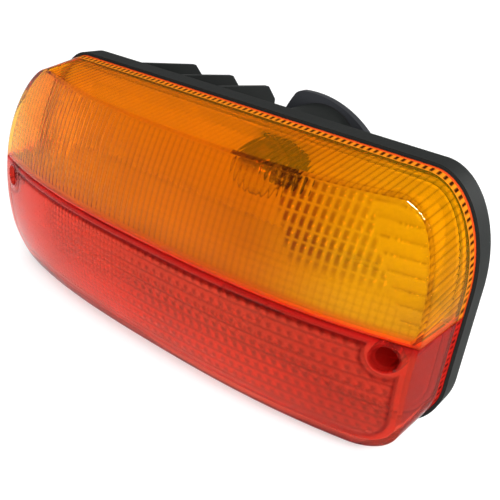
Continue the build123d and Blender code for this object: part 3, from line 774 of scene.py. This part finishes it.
class LAMP_OT_red_lens(bpy.types.Operator):
    """Red lens with prisms in its front, a bead under the seam and two screw wells"""

    bl_idname = "lamp.red_lens"
    bl_label = "Red lens"

    def execute(self, context):
        sizes = context.scene.lamp_sizes
        tint = context.scene.lamp_colours.red
        pitch = sizes.prism_pitch / MM
        width = PRISM_WIDTH * pitch

        def frame_gap(x, z):
            """Distance inside the frame line that runs round the prisms and the wells."""
            beside = FRAME_HALF - abs(x)
            below = FRAME_EDGE + z
            gap = min(beside, below)
            if beside < FRAME_CORNER and below < FRAME_CORNER:
                gap = FRAME_CORNER - math.hypot(FRAME_CORNER - beside, FRAME_CORNER - below)
            well = math.hypot(abs(x) - WELL_X, z - WELL_Z) - WELL_R - FRAME_WELL_GAP
            return min(gap - FRAME_GAP, well, SEAM_Z - z - BEAD - FRAME_BEAD_GAP)

        def front(x, z):
            """Relief and painted shade inside the front."""
            gap = frame_gap(x, z)
            field = ramp(gap, *PRISM_FIELD)
            coarse = ramp(x, *PRISM_COARSE)
            strong = lifted(ramp(x, *PRISM_FADE), PRISM_LEAST)
            slant = x + PRISM_SLANT * z
            row = facet(z, pitch, PRISM_PEAKS[1])
            fine = scallop(x, FINE * pitch) * scallop(z, FINE * pitch)
            prism = min(row, facet(slant, width, PRISM_PEAKS[0])) * coarse + fine * (1 - coarse)
            rule = (1 - ramp(row, 0.0, RULE)) * lifted(coarse, RULE_LEAST)
            # Each prism gets a painted shade: a dark wedge at its right and a slanted line towards it
            across = slant / width % 1.0
            rise = z / pitch % 1.0
            wedge = line(across - WEDGE_AT[0], WEDGE_HALF[0]) * line(rise - WEDGE_AT[1], WEDGE_HALF[1])
            slash = line(across + SLASH_SLANT * rise - SLASH_AT, SLASH_HALF) * (1 - ramp(across, *SLASH_END))
            shade = (DRIFT_TONE * across + WEDGE_TONE * wedge + SLASH_TONE * slash) * coarse
            painted_shade = strong * (RULE_TONE * rule + HOLLOW_TONE * (1 - prism) ** 2 + shade)
            half, depth, tone = INSIDE_LINE
            edge = line(gap, half)
            return PRISM_DEPTH * strong * prism * field - depth * edge, field * painted_shade + tone * edge

        def bead(x, z):
            """Relief and painted shade outside the front: in the seam and bead grooves, along the frame line
            and along the lower edge.
            """
            down = SEAM_Z - z
            along = 1 - ramp(abs(x), BEAD_HALF, BEAD_HALF + BEAD_END)
            groove = line(down - BEAD, GROOVE_HALF) * along + line(down, GROOVE_HALF)
            half, depth, tone = OUTSIDE_LINE
            edge = line(frame_gap(x, z), half)
            under = line(FRAME_EDGE + z, LOWER_SHADE_HALF)
            return -RED_GROOVE * groove - depth * edge, min(1.0, groove + tone * edge + under)

        bm, rounded = lens_shell(RED, front, plain, bead, edge_teeth(RED, sizes.band_pitch / MM))
        for side in (-1, 1):
            sink_well(bm, Vector((side * WELL_X, WELL_Z)))
        close_shell(bm, rounded, sizes.edge_round)
        # Tones: of the middle, painted shade at the ends, by the seam, on the prisms, grooves and wells, and of
        # the gleam
        tones = (tint, linear("#EC5840"), linear("#D82C26"), linear("#8A1610"), linear("#FFB0A0"))
        band_tones = (tint, linear("#CC4030"), linear("#D8302A"), *tones[3:])
        lip_tones = even_tones("#B82018", "#3A0606")
        well_tones = even_tones("#C02A22", "#8A1814")
        new_piece(bm, "red_lens_shell", "red_acrylic", (
            # Outside, a polished mould leaves a clear gloss; inside, the cut prisms break the light
            acrylic("red_acrylic_polished", *tones, through=0.85, roughness=0.03, ior=RED_IOR),
            acrylic("red_acrylic_moulded_optics", *tones, through=0.75, roughness=0.06, ior=RED_IOR),
            # The lip and the joint are left rough from the mould and look solid
            acrylic("red_acrylic_rough_lip", *lip_tones, through=0.0, roughness=0.6, ior=LIP_IOR),
            # The plain band is clear, with painted shade of a deeper red at its ends
            acrylic("red_acrylic_plain_band", *band_tones, through=0.8, roughness=0.05, ior=RED_BAND_IOR),
            # Light is lost down the screw wells, so their walls get a painted shade
            acrylic("red_acrylic_well_wall", *well_tones, through=0.85, roughness=0.05, ior=RED_IOR),
        ), "red_lens")
        return {"FINISHED"}


# Reflector flange in mm: its plane, its insets from the outline there, and the lens columns in each step
FLANGE_Y = -58.2
FLANGE_SHARE = 0.02
FLANGE_INSETS = (3.5, 5.9)
FLANGE_THICK = 0.2
FLANGE_STEP = 4
FLANGE_MERGE = 0.05


class LAMP_OT_reflector_flange(bpy.types.Operator):
    """Bright flange of the reflectors, which covers the housing's upstand behind the lens rim"""

    bl_idname = "lamp.reflector_flange"
    bl_label = "Reflector flange"

    def execute(self, context):
        bm = bmesh.new()
        for lens in (AMBER, RED):
            columns = lens["flat"] + lens["corner"] + lens["down"]
            made = bmesh.ops.create_grid(bm, x_segments=2 * columns // FLANGE_STEP, y_segments=1, size=1.0)
            for vert in made["verts"]:
                column = round(vert.co.x * columns)
                inset = FLANGE_INSETS[0] if vert.co.y < 0 else FLANGE_INSETS[1]
                x, z = edge_point(lens, column, FLANGE_SHARE, inset)
                vert.co = Vector((x, FLANGE_Y, z)) * MM
        bmesh.ops.remove_doubles(bm, verts=bm.verts, dist=FLANGE_MERGE * MM)
        bmesh.ops.recalc_face_normals(bm, faces=bm.faces)
        bmesh.ops.solidify(bm, geom=bm.faces, thickness=FLANGE_THICK * MM)
        bmesh.ops.recalc_face_normals(bm, faces=bm.faces)
        # Bright but soft, like the reflectors that it belongs to
        bright = bare_metal("aluminium_metallised_flange", linear("#ECECEC"), roughness=0.62, grain=1.5)
        new_piece(bm, "reflector_flange", "metallised_plastic", (bright,))
        return {"FINISHED"}


# Bulb filaments in mm: heights of each bulb's coils, the coil, its wire and the posts that hold it
COIL_HEIGHTS = {"indicator": (0.0,), "stop_tail": (-1.6, 1.6)}
COIL_LENGTH = 5.0
COIL_R = 0.55
COIL_TURNS = 8
COIL_STEPS = 96
WIRE_R = 0.16
WIRE_SIDES = 6
POST_X = 2.7
POST_Z = 0.4
POST_LENGTH = 14.0
POST_R = 0.25


class LAMP_OT_filaments(bpy.types.Operator):
    """Coiled filaments on their two support wires inside the bulbs"""

    bl_idname = "lamp.filaments"
    bl_label = "Bulb filaments"

    def execute(self, context):
        # A grey wire with the dull shine of drawing
        wire = bare_metal("tungsten_drawn_wire", linear("#8C8A86"), roughness=0.4, grain=0.3)
        for lamp, heights in COIL_HEIGHTS.items():
            low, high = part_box(f"{lamp}_bulb_glass")
            radius = (high[0] - low[0]) / 2
            middle = Vector(((low[0] + high[0]) / 2, low[1] + radius, (low[2] + high[2]) / 2))
            bm = bmesh.new()
            for height in heights:
                centre = middle + Vector((0, 0, height * MM))
                start = centre + Vector((-COIL_LENGTH / 2 * MM, 0, COIL_R * MM))
                ring = bmesh.ops.create_circle(
                    bm, cap_ends=False, segments=WIRE_SIDES, radius=WIRE_R * MM,
                    matrix=Matrix.Translation(start))
                edges = list(dict.fromkeys(e for v in ring["verts"] for e in v.link_edges))
                bmesh.ops.spin(
                    bm, geom=ring["verts"] + edges, cent=centre, axis=(1, 0, 0),
                    dvec=(COIL_LENGTH * MM / COIL_STEPS, 0, 0), angle=COIL_TURNS * 2 * math.pi,
                    steps=COIL_STEPS, use_merge=False)
                for side in (-1, 1):
                    post = centre + Vector((side * POST_X * MM, POST_LENGTH / 2 * MM, POST_Z * MM))
                    bmesh.ops.create_cone(
                        bm, cap_ends=True, segments=8, radius1=POST_R * MM, radius2=POST_R * MM,
                        depth=POST_LENGTH * MM,
                        matrix=Matrix.Translation(post) @ Matrix.Rotation(math.pi / 2, 4, "X"))
            bmesh.ops.holes_fill(bm, edges=[e for e in bm.edges if e.is_boundary], sides=WIRE_SIDES)
            bmesh.ops.recalc_face_normals(bm, faces=bm.faces)
            new_piece(bm, f"{lamp}_filament", "zinc_steel", (wire,))
        return {"FINISHED"}


# Mounting bolts in mm: body, head and thread; the ridge's shares of the pitch are its feet and its crest
BOLT_X = 80.0
BOLT_R = 3.0
BOLT_NECK_R = 3.4
BOLT_END = 22.0
BOLT_CHAMFER = 0.3
BOLT_STEPS = 32
BOLT_MERGE = 0.001
HEAD = (-8.0, -4.0)
HEAD_ACROSS = 10.0
HEAD_ROUND = 0.35
HEAD_SINK = 0.5
THREAD_DEPTH = 0.6
THREAD_START = 2.0
THREAD_TAPER = 0.4
THREAD_STEPS = 20
RIDGE = (0.05, 0.42, 0.58, 0.95)
RIDGE_SINK = 0.1
SHARP_DEGREES = 35


class LAMP_OT_mounting_bolts(bpy.types.Operator):
    """Two hexagon bolts with rolled threads"""

    bl_idname = "lamp.mounting_bolts"
    bl_label = "Mounting bolts"

    def execute(self, context):
        pitch = context.scene.lamp_sizes.thread_pitch / MM
        bm = bmesh.new()
        root = BOLT_R - THREAD_DEPTH
        corner = HEAD_ACROSS / math.sqrt(3) * MM
        for side in (-1, 1):
            axis = Vector((side * BOLT_X, 0, 0)) * MM
            # Turned body: underside of the head, neck, plain shank, thread core and its chamfered end
            top = HEAD[1] - HEAD_SINK
            points = [
                (0.0, top), (BOLT_NECK_R, top), (BOLT_NECK_R, 0.0), (BOLT_R, 0.0), (BOLT_R, THREAD_START),
                (root, THREAD_START + THREAD_TAPER), (root, BOLT_END - BOLT_CHAMFER),
                (root - BOLT_CHAMFER, BOLT_END), (0.0, BOLT_END)]
            verts = [bm.verts.new(axis + Vector((radius, along, 0)) * MM) for radius, along in points]
            edges = [bm.edges.new(pair) for pair in zip(verts, verts[1:])]
            bmesh.ops.spin(
                bm, geom=verts + edges, cent=axis, axis=(0, 1, 0), angle=2 * math.pi, steps=BOLT_STEPS,
                use_merge=True)
            # Rolled thread: a ridge wound along the core
            turns = math.floor((BOLT_END - 2 * BOLT_CHAMFER - THREAD_START - pitch) / pitch)
            foot = root - RIDGE_SINK
            ridge = [
                bm.verts.new(axis + Vector((radius, THREAD_START + share * pitch, 0)) * MM)
                for radius, share in zip((foot, BOLT_R, BOLT_R, foot), RIDGE)]
            edges = [bm.edges.new(pair) for pair in zip(ridge, ridge[1:] + ridge[:1])]
            bmesh.ops.spin(
                bm, geom=ridge + edges, cent=axis, axis=(0, 1, 0), dvec=(0, pitch * MM / THREAD_STEPS, 0),
                angle=turns * 2 * math.pi, steps=turns * THREAD_STEPS, use_merge=False)
            bmesh.ops.holes_fill(bm, edges=[e for e in bm.edges if e.is_boundary], sides=len(RIDGE))
            # Forged head with its edges rounded
            middle = axis + Vector((0, sum(HEAD) / 2, 0)) * MM
            head = bmesh.ops.create_cone(
                bm, cap_ends=True, segments=6, radius1=corner, radius2=corner, depth=(HEAD[1] - HEAD[0]) * MM,
                matrix=Matrix.Translation(middle) @ Matrix.Rotation(math.pi / 2, 4, "X"))
            edges = list(dict.fromkeys(e for v in head["verts"] for e in v.link_edges))
            bmesh.ops.bevel(
                bm, geom=edges, offset=HEAD_ROUND * MM, affect="EDGES", segments=2, profile=0.5, material=-1)
        bmesh.ops.remove_doubles(bm, verts=bm.verts, dist=BOLT_MERGE * MM)
        bmesh.ops.recalc_face_normals(bm, faces=bm.faces)
        # Pale grey with the even sheen of plating over rolled steel
        zinc = bare_metal("steel_zinc_plated_rolled", linear("#B9BABC"), roughness=0.34, grain=0.5)
        piece = new_piece(bm, "mounting_bolts_threaded", "zinc_steel", (zinc,), "mounting_bolts")
        piece.data.set_sharp_from_angle(angle=math.radians(SHARP_DEGREES))
        return {"FINISHED"}


class LAMP_OT_finishes(bpy.types.Operator):
    """Finishes of the nodes that keep their own shape"""

    bl_idname = "lamp.finishes"
    bl_label = "Finishes"

    def execute(self, context):
        colours = context.scene.lamp_colours
        # Blacks from satin to dull, a brown board and a glossy black insulator
        housing = moulded_plastic("black_polypropylene_moulded", colours.housing, roughness=0.62, grain=0.6)
        carrier = moulded_plastic("black_nylon_glass_filled", linear("#2C2D30"), roughness=0.5, grain=0.4)
        rubber = moulded_plastic("black_rubber_moulded", linear("#1B1B1B"), roughness=0.75, grain=0.3)
        laminate = moulded_plastic("brown_laminate_pressed", linear("#6A3F22"), roughness=0.6, grain=0.5)
        insulator = moulded_plastic("black_glass_insulator", linear("#101114"), roughness=0.15, grain=2.0)
        # A bright soft mirror, dark steel, and brass both clean and dark
        mirror = bare_metal("aluminium_vacuum_metallised", linear("#ECECEC"), roughness=0.62, grain=1.5)
        # Steel painted dark as shade: the screws sit in shaded wells, and the sleeves share it
        dark = bare_metal("steel_dark_painted_shade", linear("#4A4644"), roughness=0.35, grain=0.4)
        brass = bare_metal("brass_stamped", linear("#CDA95A"), roughness=0.28, grain=0.5)
        dull_brass = bare_metal("brass_drawn_dark", linear("#4A3620"), roughness=0.4, grain=0.8)
        chosen = {
            "housing": housing, "lens_gasket": rubber, "screw_seals": rubber, "light_shield": mirror,
            "indicator_reflector": mirror, "stop_tail_reflector": mirror, "lens_screws": dark,
            "screw_inserts": brass, "indicator_contact": brass, "stop_tail_contacts": brass,
        }
        for lamp in ("indicator", "stop_tail"):
            low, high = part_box(f"{lamp}_bulb_glass")
            glass = blown_glass(f"soda_lime_glass_blown_{lamp}", (low[2] + high[2]) / 2, linear("#6A2A1C"))
            chosen.update({
                f"{lamp}_carrier": carrier, f"{lamp}_seal": rubber, f"{lamp}_sleeve": dark,
                f"{lamp}_disc": laminate, f"{lamp}_terminals": brass, f"{lamp}_bulb_base": insulator,
                f"{lamp}_bulb_cap": dull_brass, f"{lamp}_bulb_glass": glass,
            })
        for name, material in chosen.items():
            mesh = frame["nodes"][name].data
            mesh.materials.clear()
            mesh.materials.append(material)
        return {"FINISHED"}


def shown_to_eye(tree):
    """Socket that is 1 for rays which carry the background to the camera, straight or by gloss and glass."""
    rays = add_node(tree, "ShaderNodeLightPath").outputs
    seen = reckon(tree, "MAXIMUM", rays["Is Camera Ray"], rays["Is Glossy Ray"])
    return reckon(tree, "MAXIMUM", seen, rays["Is Transmission Ray"])


# Stage in metres. The backdrop's and the floor's glow go from one level to another over a range: upwards, and
# away from the lamp cluster. A light has a name, place, size, roll and power.
BACKDROP = (0.08, 0.4, 1.0, 0.35)
FLOOR_GLOW = (0.3, 1.0, 0.4, 0.75)
FLOOR_HALF = 3.0
FLOOR_DROP = 0.0005
FLOOR_MOTTLE_MM = 250
LIGHTS = (
    ("key_light", (0.62, -0.52, 0.62), (0.5, 0.16), 0.0, 6.0),
    ("fill_light", (0.0, -0.1, 1.2), (0.8, 0.8), 0.0, 6.0),
    ("front_light", (0.75, -0.95, 0.20), (0.3, 0.3), 0.0, 9.0),
    ("back_light", (0.45, 0.95, 0.3), (0.4, 0.4), 0.0, 5.0),
    ("strip_light", (0.26, -0.80, 0.57), (0.16, 0.02), -0.6, 2.0),
)
LIGHT_AIM = (0, -0.06, 0)
CAMERA_PLACE_MM = (190.654, -300.780, 138.208)
CAMERA_AHEAD = (-0.51509, 0.73342, -0.44359)
CAMERA_UP = (-0.35557, 0.28806, 0.88915)
CAMERA_LENS_MM = 49.88
CAMERA_SENSOR_MM = 36.0


class LAMP_OT_stage(bpy.types.Operator):
    """Pale floor, soft studio light and the camera"""

    bl_idname = "lamp.stage"
    bl_label = "Stage"

    def execute(self, context):
        scene = context.scene
        scene.view_settings.view_transform = "Standard"
        # White backdrop round the horizon under a dimmer ceiling
        world = bpy.data.worlds.new("studio_white")
        scene.world = world
        world.use_nodes = True
        tree = world.node_tree
        tree.nodes.clear()
        direction = add_node(tree, "ShaderNodeTexCoord").outputs["Generated"]
        height = add_node(tree, "ShaderNodeSeparateXYZ", {0: direction}).outputs["Z"]
        level = fade(tree, height, *BACKDROP)
        white = add_node(tree, "ShaderNodeBackground", {"Color": (1, 1, 1, 1), "Strength": level})
        add_node(tree, "ShaderNodeOutputWorld", {"Surface": white.outputs[0]})

        bm = bmesh.new()
        bmesh.ops.create_grid(bm, x_segments=8, y_segments=8, size=FLOOR_HALF)
        bmesh.ops.translate(bm, verts=bm.verts, vec=(0, 0, cad_box[0][2] - FLOOR_DROP))
        mesh = bpy.data.meshes.new("floor")
        bm.to_mesh(mesh)
        bm.free()
        floor = bpy.data.objects.new("floor", mesh)
        scene.collection.objects.link(floor)
        # Matt paint, all but even, that runs into the white backdrop
        material, tree, place = start_material("floor_matt_paint")
        paint = scene.lamp_colours.floor
        mottle = noise(tree, place, FLOOR_MOTTLE_MM, CLOUD_DETAIL)
        # The lights reach the far floor least, so it glows most there
        far = add_node(tree, "ShaderNodeVectorMath", {0: place}, operation="LENGTH").outputs["Value"]
        lift = fade(tree, far, *FLOOR_GLOW)
        set_surface(tree, {
            "Base Color": mix(tree, mottle, rgba(paint, 0.99), rgba(paint)),
            "Roughness": 0.9,
            "Emission Color": (1, 1, 1, 1),
            "Emission Strength": reckon(tree, "MULTIPLY", shown_to_eye(tree), lift),
        })
        mesh.materials.append(material)

        for name, spot, size, roll, power in LIGHTS:
            light = bpy.data.lights.new(name, "AREA")
            light.energy = power
            light.shape = "RECTANGLE"
            light.size, light.size_y = size
            lit = bpy.data.objects.new(name, light)
            lit.location = spot
            aim = Vector(LIGHT_AIM) - Vector(spot)
            lit.rotation_euler = (aim.to_track_quat("-Z", "Y") @ Quaternion((0, 0, 1), roll)).to_euler()
            scene.collection.objects.link(lit)

        back = -Vector(CAMERA_AHEAD).normalized()
        right = Vector(CAMERA_UP).normalized().cross(back).normalized()
        turn = Matrix((right, back.cross(right), back)).transposed().to_4x4()
        camera = bpy.data.cameras.new("camera")
        camera.lens = CAMERA_LENS_MM
        camera.sensor_width = CAMERA_SENSOR_MM
        camera.clip_start = 0.01
        taken = bpy.data.objects.new("camera", camera)
        taken.matrix_world = Matrix.Translation(Vector(CAMERA_PLACE_MM) * MM) @ turn
        scene.collection.objects.link(taken)
        scene.camera = taken
        return {"FINISHED"}


class LAMP_PT_panel(bpy.types.Panel):
    """Lamp pieces and their sizes"""

    bl_idname = "LAMP_PT_panel"
    bl_label = "Rear lamp"
    bl_space_type = "VIEW_3D"
    bl_region_type = "UI"
    bl_category = "Lamp"

    def draw(self, context):
        for group in (context.scene.lamp_sizes, context.scene.lamp_colours):
            for name in group.__annotations__:
                self.layout.prop(group, name)
        for operator in OPERATORS:
            self.layout.operator(operator.bl_idname)


OPERATORS = (
    LAMP_OT_finishes, LAMP_OT_amber_lens, LAMP_OT_red_lens, LAMP_OT_reflector_flange, LAMP_OT_filaments,
    LAMP_OT_mounting_bolts, LAMP_OT_stage)
CLASSES = (LampSizes, LampColours, *OPERATORS, LAMP_PT_panel)


def register():
    for cls in CLASSES:
        bpy.utils.register_class(cls)
    bpy.types.Scene.lamp_sizes = PointerProperty(type=LampSizes)
    bpy.types.Scene.lamp_colours = PointerProperty(type=LampColours)


def unregister():
    del bpy.types.Scene.lamp_colours
    del bpy.types.Scene.lamp_sizes
    for cls in reversed(CLASSES):
        bpy.utils.unregister_class(cls)


def main():
    register()
    bpy.ops.lamp.finishes()
    bpy.ops.lamp.amber_lens()
    bpy.ops.lamp.red_lens()
    bpy.ops.lamp.reflector_flange()
    bpy.ops.lamp.filaments()
    bpy.ops.lamp.mounting_bolts()
    bpy.ops.lamp.stage()


if __name__ == "__main__":
    main()
